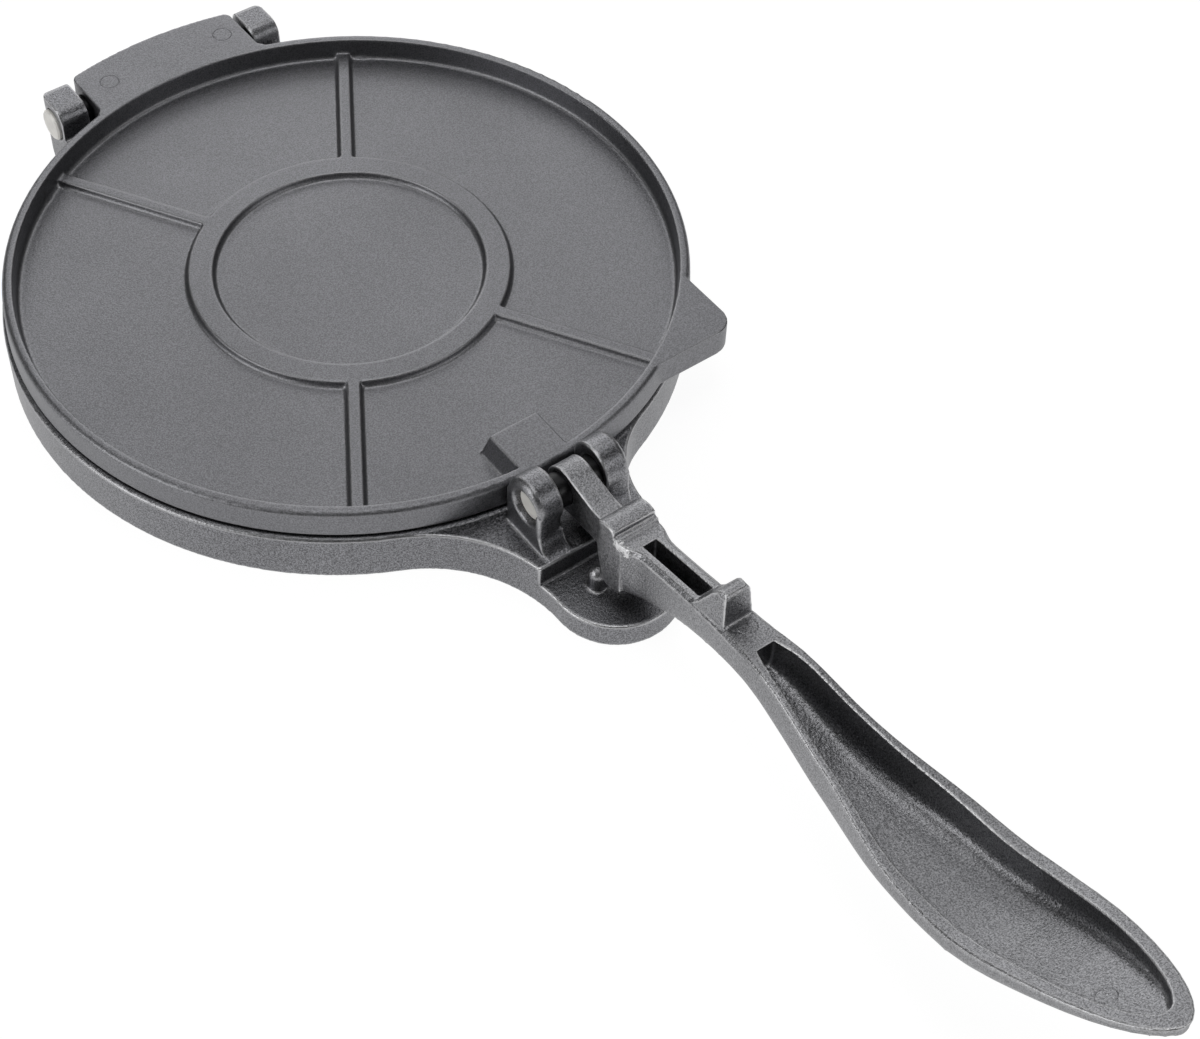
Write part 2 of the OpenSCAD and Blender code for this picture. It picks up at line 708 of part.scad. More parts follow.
// Bearing block, its rear corners rounded in plan towards the tang
module lever_block() {
    half = block_w / 2;
    intersection() {
        across(-half, half) mirror([1, 0]) block_side();
        translate([0, 0, -FAR / 8]) linear_extrude(FAR / 4) mirror([0, 1]) {
            translate([-half, block_s0 + block_r]) square([block_w, 2 * nose_r + block_r]);
            translate([-half + block_r, block_s0]) square([block_w - 2 * block_r, nose_r]);
            for (side = [-1, 1])
                translate([side * (half - block_r), block_s0 + block_r]) circle(block_r);
        }
    }
}

// Tooth between the slot and the scoop, with a sloping back and drafted flanks
module lever_tooth() {
    foot = lever_top(tooth_s) - 2;
    crest = lever_top(tooth_s + tooth_l / 2) + tooth_h;
    intersection() {
        across(-tooth_w, tooth_w) mirror([1, 0]) polygon([
            [tooth_s - 4, foot], [tooth_s - 1, foot + 3.5], [tooth_s + 3.2, crest - 2.4],
            [tooth_s + 4.6, crest - 0.7], [tooth_s + 6, crest],
            [tooth_s + tooth_l - 2, crest], [tooth_s + tooth_l - 1.4, crest - 0.6],
            [tooth_s + tooth_l, foot]]);
        along(-tooth_s - 2 * tooth_l, -tooth_s + tooth_l) polygon([
            [-tooth_w / 2, foot - 1], [-tooth_w / 2 + 0.9, crest - 1.2],
            [-tooth_w / 2 + 1.7, crest + EPS], [tooth_w / 2 - 1.7, crest + EPS],
            [tooth_w / 2 - 0.9, crest - 1.2], [tooth_w / 2, foot - 1]]);
    }
}

module lever() color([0.5, 0.51, 0.53]) translate([0, pivot_y, pivot_z]) {
    difference() {
        union() {
            difference() {
                lever_body();
                arm_slot();
                grip_scoop();
            }
            lever_block();
            lever_tang();
            lever_tooth();
        }
        rod(0, 0, lever_r + run_clear, -block_w, block_w);
    }
}

// ---- pins ------------------------------------------------------------------

module hinge_pin() color([0.78, 0.78, 0.76]) translate([-base_shift, 0, 0])
    pin(hinge_y, hinge_z, hinge_r, lug_out + hinge_pin_proud);

module lever_pin() color([0.78, 0.78, 0.76]) translate([-base_shift, 0, 0])
    pin(pivot_y, pivot_z, lever_r, clevis_out - lever_pin_sunk);

base_plate();
upper_plate();
lever();
hinge_pin();
lever_pin();
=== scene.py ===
"""Visual model of a cast tortilla press.

The CAD solids give every casting its exact place. Each casting is copied, its
corners are softened to the small radii of a coated casting, and it is dressed in
a hammertone coat. Lengths are metres, +Z is up and +Y points to the rear hinge.
"""

import logging
import math
from dataclasses import dataclass
from enum import Enum

import bmesh
import bpy
import numpy as np
from mathutils import Matrix, Vector

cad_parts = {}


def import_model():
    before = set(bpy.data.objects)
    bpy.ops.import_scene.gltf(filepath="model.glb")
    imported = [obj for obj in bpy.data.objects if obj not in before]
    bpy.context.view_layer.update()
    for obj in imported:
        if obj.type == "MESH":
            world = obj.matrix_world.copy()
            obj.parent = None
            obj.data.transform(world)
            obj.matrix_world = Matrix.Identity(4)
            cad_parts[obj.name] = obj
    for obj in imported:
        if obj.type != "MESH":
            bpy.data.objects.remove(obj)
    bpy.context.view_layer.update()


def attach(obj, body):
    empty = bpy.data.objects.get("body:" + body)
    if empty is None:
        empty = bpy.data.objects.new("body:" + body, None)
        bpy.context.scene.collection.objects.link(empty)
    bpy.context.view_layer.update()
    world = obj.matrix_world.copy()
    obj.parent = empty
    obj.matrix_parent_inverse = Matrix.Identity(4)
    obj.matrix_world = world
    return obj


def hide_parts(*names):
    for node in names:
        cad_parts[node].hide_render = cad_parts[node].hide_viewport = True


LOG = logging.getLogger("tortilla_press")
MM = 0.001
Triple = tuple[float, float, float]

# Values between which a noise texture mostly stays.
NOISE_SPAN = (0.3, 0.7)

# Middles of the rings that the mould left, and of the places rubbed bright.
TAIL_RINGS = ((-18.4 * MM, 102.0 * MM), (20.3 * MM, 102.0 * MM))
LEVER_RINGS = ((0.6 * MM, -174.6 * MM), (-2.4 * MM, -297.8 * MM))
SHOULDER_RUBS = (((-0.0068, -0.1330, 0.0315), 2.8 * MM), ((-0.0064, -0.1352, 0.0312), 2.6 * MM))


class Body(Enum):
    """Moving bodies of the press."""

    BASE = "base"
    UPPER = "upper"
    HANDLE = "handle"


class Slot(Enum):
    """Material slots of the record."""

    CAST = "cast_dark"
    LEVER = "cast_lever"
    STEEL = "pin_steel"


# ---- finishes ---------------------------------------------------------------


class NodeBoard:
    """Small helper that places and links the nodes of one material."""

    def __init__(self, name: str) -> None:
        """Starts a material with an empty node tree.

        Args:
            name: Name of the material.
        """
        self.material = bpy.data.materials.new(name)
        self.material.use_nodes = True
        self.tree = self.material.node_tree
        self.tree.nodes.clear()
        self.column = 0

    def add(self, kind: str, **values: object) -> bpy.types.Node:
        """Adds a node and sets its properties and unlinked inputs.

        Args:
            kind: Node type, such as ShaderNodeTexNoise.
            **values: Properties by attribute name, or inputs by socket name
                with spaces written as underscores.

        Returns:
            The new node.
        """
        node = self.tree.nodes.new(kind)
        node.location = (self.column, 0)
        self.column += 190
        for key, value in values.items():
            if hasattr(node, key):
                setattr(node, key, value)
            else:
                node.inputs[key.replace("_", " ")].default_value = value
        return node

    def link(self, source: bpy.types.NodeSocket, target: bpy.types.NodeSocket) -> None:
        """Links one socket to another."""
        self.tree.links.new(source, target)

    def math(self, operation: str, a: object, b: object = None) -> bpy.types.NodeSocket:
        """Adds a maths node on sockets or plain numbers.

        Args:
            operation: Name of the operation.
            a: First operand, a socket or a number.
            b: Second operand, if the operation has one.

        Returns:
            The result's socket.
        """
        node = self.add("ShaderNodeMath", operation=operation)
        for i, operand in enumerate((a, b)):
            if isinstance(operand, bpy.types.NodeSocket):
                self.link(operand, node.inputs[i])
            elif operand is not None:
                node.inputs[i].default_value = operand
        return node.outputs[0]

    def spread(self, value: bpy.types.NodeSocket, span: tuple, out: tuple) -> bpy.types.NodeSocket:
        """Maps a value's span to another, clamped.

        Args:
            value: Socket to read.
            span: Lowest and highest value read.
            out: What they become.

        Returns:
            The result's socket.
        """
        node = self.add("ShaderNodeMapRange", clamp=True)
        self.link(value, node.inputs["Value"])
        for name, number in zip(("From Min", "From Max", "To Min", "To Max"), span + out):
            node.inputs[name].default_value = number
        return node.outputs["Result"]

    def blend(self, factor: object, a: object, b: object, mode: str = "MIX") -> bpy.types.NodeSocket:
        """Mixes two colours.

        Args:
            factor: Socket or number from 0 to 1.
            a: First colour, a socket or a tuple.
            b: Second colour, a socket or a tuple.
            mode: Blend type.

        Returns:
            The mixed colour's socket.
        """
        node = self.add("ShaderNodeMix", data_type="RGBA", blend_type=mode)
        # A colour mix keeps its factor on socket 0 and its colours on 6 and 7.
        for operand, socket in ((factor, node.inputs[0]), (a, node.inputs[6]), (b, node.inputs[7])):
            if isinstance(operand, bpy.types.NodeSocket):
                self.link(operand, socket)
            else:
                socket.default_value = operand
        return node.outputs[2]


@dataclass(frozen=True)
class Hammertone:
    """Metallic hammertone coat over a casting.

    Attributes:
        name: Name of the material.
        shade: Colour of the coat.
        cell: Width of a hammered cell.
        cell_depth: Height of the cells in the bump.
        grain: Size of the fine grain.
        grain_depth: Height of the grain in the bump.
        speckle: How far flakes and specks stray from the shade.
        roughness: Middle roughness.
        wear_and_sheen: Share of the pale corner colour on a corner at full; part real wear, part painted
            highlight.
        bare_and_highlight: Pale colour laid on corners, both bare metal and painted highlight.
        corner_span: Edge values at which the wear and the painted highlight start and are full.
        clouds: Darkest and lightest share of the shade in the clouds.
        cloud_scale: Scale of the slow clouds in the colour.
        tear_size: Size of the ragged gaps in a rubbed place.
        rubs: Middle and radius of each rubbed place.
    """

    name: str
    shade: Triple = (0.213, 0.214, 0.226)
    cell: float = 0.75 * MM
    cell_depth: float = 0.05 * MM
    grain: float = 0.38 * MM
    grain_depth: float = 0.045 * MM
    speckle: float = 0.2
    roughness: float = 0.4
    wear_and_sheen: float = 0.22
    bare_and_highlight: tuple[float, ...] = (0.85, 0.85, 0.86, 1.0)
    corner_span: tuple[float, float] = (0.07, 0.5)
    clouds: tuple[float, float] = (0.93, 1.06)
    cloud_scale: float = 22.0
    tear_size: float = 1.1 * MM
    rubs: tuple[tuple[Triple, float], ...] = ()

    def relief(self, board: NodeBoard, place: bpy.types.NodeSocket) -> tuple:
        """Adds the coat's hammered surface.

        Args:
            board: Board of the material.
            place: Coordinates that the pattern follows.

        Returns:
            The grain's value and the bumped normal.
        """
        cells = board.add("ShaderNodeTexVoronoi", feature="SMOOTH_F1", Scale=1 / self.cell, Smoothness=0.7)
        grain = board.add("ShaderNodeTexNoise", Scale=1 / self.grain, Detail=2.0, Roughness=0.6)
        for node in (cells, grain):
            board.link(place, node.inputs["Vector"])
        bump = board.add("ShaderNodeBump", Strength=1.0, Distance=self.cell_depth)
        board.link(cells.outputs["Distance"], bump.inputs["Height"])
        fine = board.add("ShaderNodeBump", Strength=1.0, Distance=self.grain_depth)
        board.link(grain.outputs["Fac"], fine.inputs["Height"])
        board.link(bump.outputs["Normal"], fine.inputs["Normal"])
        return grain.outputs["Fac"], fine.outputs["Normal"]

    def tint(self, board: NodeBoard, place: bpy.types.NodeSocket) -> bpy.types.NodeSocket:
        """Mixes the coat's colour: slow clouds, glinting flakes and dark specks.

        Args:
            board: Board of the material.
            place: Coordinates that the pattern follows.

        Returns:
            The colour's socket.
        """
        cloud = board.add("ShaderNodeTexNoise", Scale=self.cloud_scale, Detail=3.0, Roughness=0.5)
        flake = board.add("ShaderNodeTexNoise", Scale=1 / self.grain, Detail=1.0, Roughness=0.5)
        for node in (cloud, flake):
            board.link(place, node.inputs["Vector"])
        dark, light = (tuple(share * v for v in self.shade) + (1.0,) for share in self.clouds)
        drift = board.spread(cloud.outputs["Fac"], NOISE_SPAN, (0.0, 1.0))
        colour = board.blend(drift, dark, light)
        glint = board.spread(flake.outputs["Fac"], (0.34, 0.66), (1 - self.speckle, 1 + self.speckle))
        return board.blend(1.0, colour, glint, "MULTIPLY")

    def rub(self, board: NodeBoard, place: bpy.types.NodeSocket) -> bpy.types.NodeSocket:
        """Marks the places that are rubbed or ground bright.

        Args:
            board: Board of the material.
            place: Coordinates of the casting.

        Returns:
            Socket that is 1 on a bright place and 0 elsewhere.
        """
        total = board.math("ADD", 0.0, 0.0)
        ragged = board.add("ShaderNodeTexNoise", Scale=1 / self.tear_size, Detail=2.0, Roughness=0.6)
        board.link(place, ragged.inputs["Vector"])
        for spot, reach in self.rubs:
            gap = board.add("ShaderNodeVectorMath", operation="DISTANCE")
            board.link(place, gap.inputs[0])
            gap.inputs[1].default_value = spot
            # The noise tears the round spot, whose rim is then made nearly sharp.
            near = board.spread(gap.outputs["Value"], (0.0, reach), (1.0, 0.0))
            holes = board.spread(ragged.outputs["Fac"], (0.35, 0.6), (0.1, 1.6))
            torn = board.math("MULTIPLY", near, holes)
            total = board.math("MAXIMUM", total, board.spread(torn, (0.3, 0.5), (0.0, 0.9)))
        return total

    def material(self) -> bpy.types.Material:
        """Builds the coat's shader.

        Returns:
            The finished material.
        """
        board = NodeBoard(self.name)
        place = board.add("ShaderNodeTexCoord").outputs["Object"]
        edge = board.add("ShaderNodeAttribute", attribute_name="edge").outputs["Fac"]
        grain, normal = self.relief(board, place)
        colour = self.tint(board, place)
        # Painted highlight and wear: outer and inner corners alike are lightened towards a pale bare-metal
        # colour. Outer corners are partly real wear. The lines along edges and in inner fillets are
        # painted highlight.
        worn_and_lit = board.spread(board.math("ABSOLUTE", edge), self.corner_span, (0.0, self.wear_and_sheen))
        if self.rubs:
            worn_and_lit = board.math("MAXIMUM", worn_and_lit, self.rub(board, place))
        colour = board.blend(worn_and_lit, colour, self.bare_and_highlight)
        smoothest, roughest = self.roughness - 0.05, self.roughness + 0.08
        rough = board.spread(grain, NOISE_SPAN, (smoothest, roughest))
        shader = board.add("ShaderNodeBsdfPrincipled", Metallic=1.0)
        board.link(colour, shader.inputs["Base Color"])
        board.link(rough, shader.inputs["Roughness"])
        board.link(normal, shader.inputs["Normal"])
        board.link(shader.outputs[0], board.add("ShaderNodeOutputMaterial").inputs["Surface"])
        return board.material


@dataclass(frozen=True)
class PinSteel:
    """Round steel bar: its shank is painted nearly black as shade, and its cut ends are near-white as a
    painted highlight.

    Attributes:
        name: Name of the material.
        middle: Place of the pin's middle along X.
        half_length: Half the pin's length.
        shade: Near-white colour of the cut ends, a painted highlight on cut steel.
        barrel_shade: Painted shade on the shank, nearly black.
        highlight_reach: How far the painted highlight reaches in from each end.
        fade: Length over which the painted highlight meets the painted shade.
        roughness: Middle roughness.
        scratch_size: Size of the fine scratches.
        scratch_depth: Height of the scratches in the bump.
        cloud_size: Size of the clouds in the colour.
    """

    name: str
    middle: float
    half_length: float
    shade: Triple = (0.97, 0.95, 0.9)
    barrel_shade: Triple = (0.03, 0.03, 0.031)
    highlight_reach: float = 1.1 * MM
    fade: float = 0.2 * MM
    roughness: float = 0.34
    scratch_size: float = 0.5 * MM
    scratch_depth: float = 0.03 * MM
    cloud_size: float = 3 * MM

    def material(self) -> bpy.types.Material:
        """Builds the steel's shader.

        Returns:
            The finished material.
        """
        board = NodeBoard(self.name)
        place = board.add("ShaderNodeTexCoord").outputs["Object"]
        scratch = board.add("ShaderNodeTexNoise", Scale=1 / self.scratch_size, Detail=4.0, Roughness=0.6)
        cloud = board.add("ShaderNodeTexNoise", Scale=1 / self.cloud_size, Detail=2.0, Roughness=0.5)
        axes = board.add("ShaderNodeSeparateXYZ")
        for node in (scratch, cloud, axes):
            board.link(place, node.inputs["Vector"])
        reach = board.math("ABSOLUTE", board.math("SUBTRACT", axes.outputs["X"], self.middle))
        limit = self.half_length - self.highlight_reach
        end = board.spread(reach, (limit - self.fade, limit), (0.0, 1.0))
        tone = board.spread(cloud.outputs["Fac"], NOISE_SPAN, (0.0, 1.0))
        low = tuple(0.88 * v for v in self.shade) + (1.0,)
        colour = board.blend(tone, low, self.shade + (1.0,))
        # Painted shade on the shank and painted highlight on the ends: the colour turns from nearly black
        # to near-white.
        colour = board.blend(end, self.barrel_shade + (1.0,), colour)
        smoothest, roughest = self.roughness - 0.07, self.roughness + 0.12
        rough = board.spread(scratch.outputs["Fac"], NOISE_SPAN, (smoothest, roughest))
        bump = board.add("ShaderNodeBump", Strength=0.6, Distance=self.scratch_depth)
        board.link(scratch.outputs["Fac"], bump.inputs["Height"])
        shader = board.add("ShaderNodeBsdfPrincipled")
        # The ends are barely metallic, so their near-white colour shows as a painted highlight.
        board.link(board.spread(end, (0.0, 1.0), (1.0, 0.1)), shader.inputs["Metallic"])
        board.link(colour, shader.inputs["Base Color"])
        board.link(rough, shader.inputs["Roughness"])
        board.link(bump.outputs["Normal"], shader.inputs["Normal"])
        board.link(shader.outputs[0], board.add("ShaderNodeOutputMaterial").inputs["Surface"])
        return board.material


# ---- castings ---------------------------------------------------------------


@dataclass(frozen=True)
class LugFill:
    """Strip that fills out an upright edge of the clevis lugs' columns.

    Attributes:
        face: Side that the strip completes, from the middle between the lugs.
        deep: How far into the lug it reaches, from the same middle.
        corner: Radius of its free corner.
        axis_x: Middle between the two lugs.
        axis_y: Middle of the columns from front to back.
        reach: From that middle to a column's front or back.
        root: Straight length behind the round corner.
        low: Foot of the strip.
        high: Top of the strip.
        steps: Steps in the round corner.
    """

    face: float
    deep: float
    corner: float
    axis_x: float = -0.6 * MM
    axis_y: float = -104.5 * MM
    reach: float = 7.4 * MM
    root: float = 1.0 * MM
    low: float = 12.9 * MM
    high: float = 26.0 * MM
    steps: int = 8

    def outline(self) -> list[tuple[float, float]]:
        """Draws one strip in plan, about the middle of the two lugs.

        Returns:
            Corners of the strip in order, with its free corner rounded.
        """
        inward = math.copysign(self.corner, self.deep - self.face)
        hub_x, hub_y = self.face + inward, self.reach - self.corner
        arc = [math.radians(90 * i / self.steps) for i in range(self.steps + 1)]
        curve = [(hub_x - inward * math.sin(a), hub_y + self.corner * math.cos(a)) for a in arc]
        back_y = hub_y - self.root
        return [(self.deep, back_y), (self.deep, self.reach), *curve, (self.face, back_y)]

    def add_to(self, shape: bmesh.types.BMesh) -> None:
        """Adds the strip at both ends of both lugs, as closed prisms.

        Args:
            shape: Mesh of the base casting.
        """
        for side, end in ((-1, -1), (-1, 1), (1, -1), (1, 1)):
            plan = [(self.axis_x + side * x, self.axis_y + end * y) for x, y in self.outline()]
            rings = [[shape.verts.new((x, y, z)) for x, y in plan] for z in (self.low, self.high)]
            faces = [shape.faces.new(ring) for ring in rings]
            for i, (low, high) in enumerate(zip(*rings)):
                faces.append(shape.faces.new((low, rings[0][i - 1], rings[1][i - 1], high)))
            bmesh.ops.recalc_face_normals(shape, faces=faces)


LUG_FILLS = (
    LugFill(face=6.85 * MM, deep=11.0 * MM, corner=2.2 * MM),
    LugFill(face=14.65 * MM, deep=12.0 * MM, corner=1.0 * MM),
)


@dataclass
class Casting:
    """A casting copied from its CAD solid, with softened corners.

    Attributes:
        node: CAD node that it stands for.
        body: Body that it rides on.
        slot: Material slot of the record; not used.
        coat: Its finish.
        voxel: Grid that the corners are softened on.
        passes: Smoothing passes that round the corners.
        probe_passes: Passes that tell where the corners are.
        broad_passes: Passes over the broad surfaces alone.
        broad_limit: Edge value below which a surface is broad.
        budget: Most triangles that it keeps.
        weld: Distance within which corners of loose triangles are joined.
        fills: Strips added before the corners are softened.
    """

    node: str
    body: Body
    slot: Slot
    coat: Hammertone
    voxel: float = 0.32 * MM
    quick_scale: float = 2.0
    passes: int = 7
    probe_passes: int = 20
    broad_passes: int = 0
    broad_limit: float = 0.11
    budget: int = 185_000
    weld: float = 0.002 * MM
    fills: tuple[LugFill, ...] = ()

    def copy(self) -> bpy.types.Object:
        """Copies the CAD solid, joins its loose triangles and adds its strips.

        Returns:
            The copy, linked to the scene.
        """
        mesh = bpy.data.objects[self.node].data.copy()
        mesh.materials.clear()
        piece = bpy.data.objects.new(f"{self.node}_casting", mesh)
        bpy.context.scene.collection.objects.link(piece)
        weld = piece.modifiers.new("weld", "WELD")
        weld.merge_threshold = self.weld
        self.settle(piece)
        shape = bmesh.new()
        shape.from_mesh(piece.data)
        for fill in self.fills:
            fill.add_to(shape)
        shape.to_mesh(piece.data)
        shape.free()
        return piece

    @staticmethod
    def settle(piece: bpy.types.Object) -> None:
        """Turns a piece's modifiers into plain mesh.

        Args:
            piece: Object to change.
        """
        graph = bpy.context.evaluated_depsgraph_get()
        mesh = bpy.data.meshes.new_from_object(piece.evaluated_get(graph))
        piece.modifiers.clear()
        piece.data = mesh

    def soften(self, piece: bpy.types.Object) -> None:
        """Rounds every corner a little and records where the corners were.

        Args:
            piece: Casting to change. It gains a point attribute named edge,
                positive on outer corners and negative in inner ones.
        """
        remesh = piece.modifiers.new("skin", "REMESH")
        remesh.mode = "VOXEL"
        remesh.voxel_size = self.voxel * 1.0
        self.settle(piece)
        self.smooth(piece, self.passes)
        self.settle(piece)
        normals = np.empty(len(piece.data.vertices) * 3, np.float32)
        piece.data.vertex_normals.foreach_get("vector", normals)
        self.smooth(piece, self.probe_passes)
        graph = bpy.context.evaluated_depsgraph_get()
        shrunk = self.points(piece.evaluated_get(graph).data)
        piece.modifiers.clear()
        corner = ((self.points(piece.data) - shrunk) * normals.reshape(-1, 3)).sum(1) / self.voxel
        edge = piece.data.attributes.new("edge", "FLOAT", "POINT")
        edge.data.foreach_set("value", corner.astype(np.float32))
        if self.broad_passes:
            self.even_out(piece, np.abs(corner) < self.broad_limit)

    def even_out(self, piece: bpy.types.Object, broad: np.ndarray) -> None:
        """Smooths the broad surfaces further, so that their facets go.

        Args:
            piece: Casting to change.
            broad: For each vertex, whether it lies away from the corners.
        """
        group = piece.vertex_groups.new(name="broad")
        group.add(np.flatnonzero(broad).tolist(), 1.0, "REPLACE")
        self.smooth(piece, self.broad_passes).vertex_group = group.name
        self.settle(piece)
        piece.vertex_groups.clear()

    @staticmethod
    def smooth(piece: bpy.types.Object, passes: int) -> bpy.types.Modifier:
        """Adds a smoothing modifier.

        Args:
            piece: Casting to smooth.
            passes: Number of passes.

        Returns:
            The modifier.
        """
        smooth = piece.modifiers.new("smooth", "SMOOTH")
        smooth.factor = 0.5
        smooth.iterations = passes
        return smooth

    @staticmethod
    def points(mesh: bpy.types.Mesh) -> np.ndarray:
        """Reads a mesh's vertices.

        Args:
            mesh: Mesh to read.

        Returns:
            Array with a row of x, y and z for each vertex.
        """
        flat = np.empty(len(mesh.vertices) * 3, np.float32)
        mesh.vertices.foreach_get("co", flat)
        return flat.reshape(-1, 3)

    def thin(self, piece: bpy.types.Object) -> None:
        """Thins flat areas to the triangle budget and evens the shading.

        Args:
            piece: Casting to change.
        """
        triangles = sum(len(p.vertices) - 2 for p in piece.data.polygons)
        if triangles > self.budget:
            fewer = piece.modifiers.new("thin", "DECIMATE")
            fewer.ratio = self.budget / triangles
            fewer.use_collapse_triangulate = True
        self.settle(piece)
        piece.data.shade_smooth()
        even = piece.modifiers.new("even", "WEIGHTED_NORMAL")
        even.mode = "FACE_AREA"
        even.weight = 50
        self.settle(piece)

    def build(self) -> list[bpy.types.Object]:
        """Makes the finished casting.

        Returns:
            The pieces that stand for the node.
        """
        piece = self.copy()
        self.soften(piece)
        self.thin(piece)
        piece.data.materials.append(self.coat.material())
        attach(piece, self.body.value)
        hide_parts(self.node)
        return [piece]


@dataclass
class MouldRings:
    """Faint raised rings that the mould left on a casting.

    Attributes:
        node: CAD node whose finished casting carries the rings.
        body: Body that they ride on.
        slot: Material slot of the record; not used.
        coat: Finish of the casting.
        places: X and Y of each ring's middle.
        radius: Radius of a ring.
        line: Radius of the ring's round line.
        proud: Height of the line above the casting.
        skim: Lift off the casting along its normal.
        drop_height: Height that the rings are dropped from.
        round_steps: Steps round a ring.
        line_steps: Steps round its line.
    """

    node: str
    body: Body
    slot: Slot
    coat: Hammertone
    places: tuple[tuple[float, float], ...]
    radius: float = 2.8 * MM
    line: float = 0.22 * MM
    proud: float = 0.09 * MM
    skim: float = 0.01 * MM
    drop_height: float = 60 * MM
    round_steps: int = 48
    line_steps: int = 10

    def sizes(self) -> dict:
        """Lists the tree's number inputs by name.

        Returns:
            Ring radius, line radius and depth of the line's centre.
        """
        return {"Radius": self.radius, "Line": self.line, "Sunk": self.proud - self.line}

    def tree(self) -> bpy.types.NodeTree:
        """Builds the node tree that drops rings onto a casting.

        Returns:
            Tree with inputs for the points, the casting, the coat and the sizes.
        """
        tree = bpy.data.node_groups.new(f"{self.node}_rings", "GeometryNodeTree")
        for name, direction, kind in (
            ("Points", "INPUT", "Geometry"), ("Casting", "INPUT", "Object"), ("Coat", "INPUT", "Material"),
            *((name, "INPUT", "Float") for name in self.sizes()), ("Rings", "OUTPUT", "Geometry"),
        ):
            tree.interface.new_socket(name, in_out=direction, socket_type=f"NodeSocket{kind}")
        node = {name: tree.nodes.new(kind) for name, kind in (
            ("start", "NodeGroupInput"), ("end", "NodeGroupOutput"), ("target", "GeometryNodeObjectInfo"),
            ("drop", "GeometryNodeRaycast"), ("lift", "ShaderNodeVectorMath"),
            ("move", "GeometryNodeSetPosition"), ("turn", "FunctionNodeAlignRotationToVector"),
            ("circle", "GeometryNodeCurvePrimitiveCircle"),
            ("wire", "GeometryNodeCurvePrimitiveCircle"), ("ring", "GeometryNodeCurveToMesh"),
            ("depth", "ShaderNodeCombineXYZ"), ("sink", "GeometryNodeTransform"),
            ("copies", "GeometryNodeInstanceOnPoints"), ("real", "GeometryNodeRealizeInstances"),
            ("dress", "GeometryNodeSetMaterial"),
        )}
        node["drop"].inputs["Ray Direction"].default_value = (0.0, 0.0, -1.0)
        node["drop"].inputs["Ray Length"].default_value = 2 * self.drop_height
        node["lift"].operation = "MULTIPLY_ADD"
        node["lift"].inputs[1].default_value = (self.skim,) * 3
        node["turn"].axis = "Z"
        node["circle"].inputs["Resolution"].default_value = self.round_steps
        node["wire"].inputs["Resolution"].default_value = self.line_steps
        for source, output, target, entry in (
            ("start", "Casting", "target", "Object"), ("target", "Geometry", "drop", "Target Geometry"),
            ("drop", "Hit Normal", "lift", 0), ("drop", "Hit Position", "lift", 2),
            ("start", "Points", "move", "Geometry"), ("lift", "Vector", "move", "Position"),
            ("drop", "Hit Normal", "turn", "Vector"), ("start", "Radius", "circle", "Radius"),
            ("start", "Line", "wire", "Radius"), ("circle", "Curve", "ring", "Curve"),
            ("wire", "Curve", "ring", "Profile Curve"), ("start", "Sunk", "depth", "Z"),
            ("ring", "Mesh", "sink", "Geometry"), ("depth", "Vector", "sink", "Translation"),
            ("move", "Geometry", "copies", "Points"), ("sink", "Geometry", "copies", "Instance"),
            ("turn", "Rotation", "copies", "Rotation"), ("copies", "Instances", "real", "Geometry"),
            ("real", "Geometry", "dress", "Geometry"), ("start", "Coat", "dress", "Material"),
            ("dress", "Geometry", "end", "Rings"),
        ):
            tree.links.new(node[source].outputs[output], node[target].inputs[entry])
        return tree

    def build(self) -> list[bpy.types.Object]:
        """Makes the rings on the finished casting.

        Returns:
            One object that holds the rings.
        """
        mesh = bpy.data.meshes.new(f"{self.node}_rings")
        mesh.from_pydata([(x, y, self.drop_height) for x, y in self.places], [], [])
        piece = bpy.data.objects.new(f"{self.node}_rings", mesh)
        bpy.context.scene.collection.objects.link(piece)
        rings = piece.modifiers.new("rings", "NODES")
        rings.node_group = self.tree()
        coat = bpy.data.materials[self.coat.name]
        values = self.sizes() | {"Casting": bpy.data.objects[f"{self.node}_casting"], "Coat": coat}
        for socket in rings.node_group.interface.items_tree:
            if socket.in_out == "INPUT" and socket.name in values:
                rings[socket.identifier] = values[socket.name]
        Casting.settle(piece)
        piece.data.shade_smooth()
        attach(piece, self.body.value)
        return [piece]


@dataclass
class Pins:
    """The two round pins, which keep their CAD shape."""

    nodes: tuple[str, ...] = ("hinge_pin", "lever_pin")

    def build(self) -> list[bpy.types.Object]:
        """Dresses the pins.

        Returns:
            The dressed CAD objects.
        """
        pieces = [bpy.data.objects[name] for name in self.nodes]
        for piece in pieces:
            ends = [corner[0] for corner in piece.bound_box]
            low, high = min(ends), max(ends)
            steel = PinSteel(f"{piece.name}_steel", (low + high) / 2, (high - low) / 2)
            piece.data.materials.clear()
            piece.data.materials.append(steel.material())
        return pieces


# ---- studio -----------------------------------------------------------------


@dataclass(frozen=True)
class Lamp:
    """Square soft lamp that faces the press.

    Attributes:
        name: Name of the lamp.
        place: Place of its middle.
        size: Side of the square.
        glow: Brightness of its face, so a wider lamp gives more light.
    """

    name: str
    place: Triple
    size: float
    glow: float

    def hang(self, target: Vector) -> None:
        """Hangs the lamp.

        Args:
            target: Point that the lamp faces.
        """
        data = bpy.data.lights.new(self.name, "AREA")
        data.shape = "SQUARE"
        data.size = self.size
        data.energy = self.glow * math.pi * self.size ** 2
        lamp = bpy.data.objects.new(self.name, data)
        lamp.location = self.place
        aim = target - Vector(self.place)
        lamp.rotation_euler = aim.to_track_quat("-Z", "Y").to_euler()
        bpy.context.scene.collection.objects.link(lamp)


